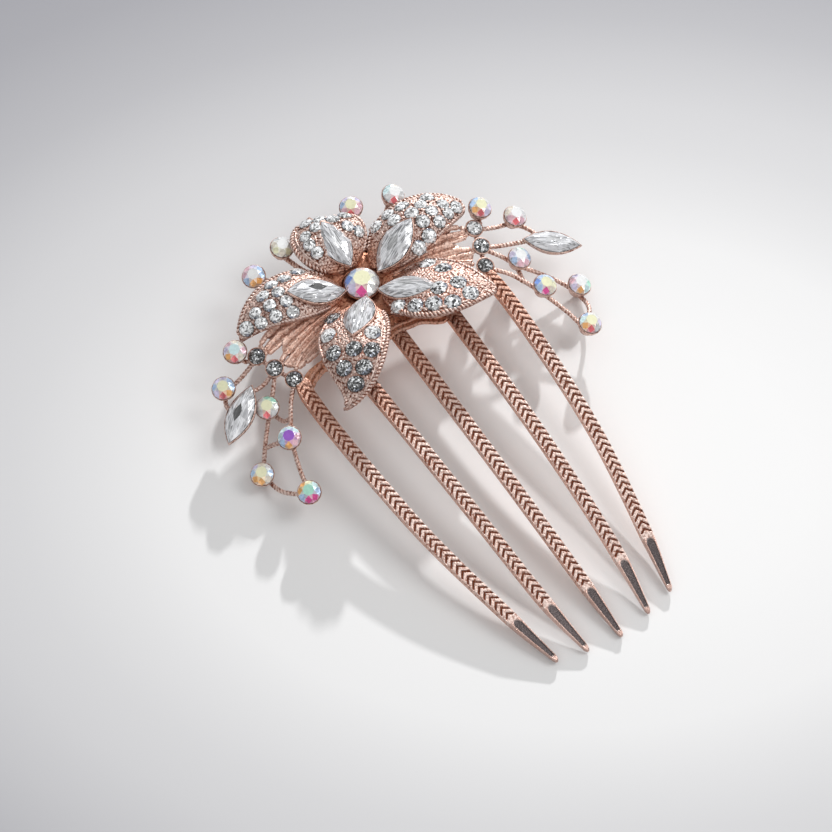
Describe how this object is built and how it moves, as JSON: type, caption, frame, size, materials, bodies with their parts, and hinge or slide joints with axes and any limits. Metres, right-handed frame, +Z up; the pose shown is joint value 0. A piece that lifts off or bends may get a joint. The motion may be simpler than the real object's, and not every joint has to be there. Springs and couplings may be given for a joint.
{
  "type": "rhinestone hair comb",
  "caption": "Pronged metal hair comb with a pave-set flower head, ribbed leaves and sprays of round and pointed oval glass stones.",
  "frame": {"origin": "centre of the comb's outline seen from above, at the height of the surface that the tine tips rest on", "axes": "+Z up, out of the front of the flower; +Y from the tine tips to the flower head along the middle tine; +X across the comb, normal to its mirror plane"},
  "size_m": [0.0792, 0.1021, 0.0169],
  "materials": {
    "rose_gold_plate": "polished rose-gold plating over a zinc casting, darker and redder in the recesses",
    "aurora_glass": "foil-backed faceted glass with an iridescent coating",
    "clear_glass": "foil-backed faceted colourless glass"
  },
  "bodies": {
    "root": {"aurora_stone_a_left": "aurora_glass", "aurora_stone_a_right": "aurora_glass", "aurora_stone_b_left": "aurora_glass", "aurora_stone_b_right": "aurora_glass", "aurora_stone_c_left": "aurora_glass", "aurora_stone_c_right": "aurora_glass", "aurora_stone_d_left": "aurora_glass", "aurora_stone_d_right": "aurora_glass", "aurora_stone_e_left": "aurora_glass", "aurora_stone_e_right": "aurora_glass", "aurora_stone_f_left": "aurora_glass", "aurora_stone_f_right": "aurora_glass", "aurora_stone_g_left": "aurora_glass", "aurora_stone_g_right": "aurora_glass", "aurora_stone_h_left": "aurora_glass", "aurora_stone_h_right": "aurora_glass", "backing_plate": "rose_gold_plate", "centre_setting": "rose_gold_plate", "centre_stone": "aurora_glass", "comb_casting": "rose_gold_plate", "petal_low_left": "rose_gold_plate", "petal_low_right": "rose_gold_plate", "petal_navette_low_left": "clear_glass", "petal_navette_low_right": "clear_glass", "petal_navette_side_left": "clear_glass", "petal_navette_side_right": "clear_glass", "petal_navette_top": "clear_glass", "petal_side_left": "rose_gold_plate", "petal_side_right": "rose_gold_plate", "petal_top": "rose_gold_plate", "rear_fork_left": "rose_gold_plate", "rear_fork_right": "rose_gold_plate", "ribbed_leaf_left": "rose_gold_plate", "ribbed_leaf_right": "rose_gold_plate", "small_stone_one_left": "clear_glass", "small_stone_one_right": "clear_glass", "small_stone_three_left": "clear_glass", "small_stone_three_right": "clear_glass", "small_stone_two_left": "clear_glass", "small_stone_two_right": "clear_glass", "spray_casting_left": "rose_gold_plate", "spray_casting_right": "rose_gold_plate", "spray_navette_left": "clear_glass", "spray_navette_right": "clear_glass"}
  },
  "joints": []
}
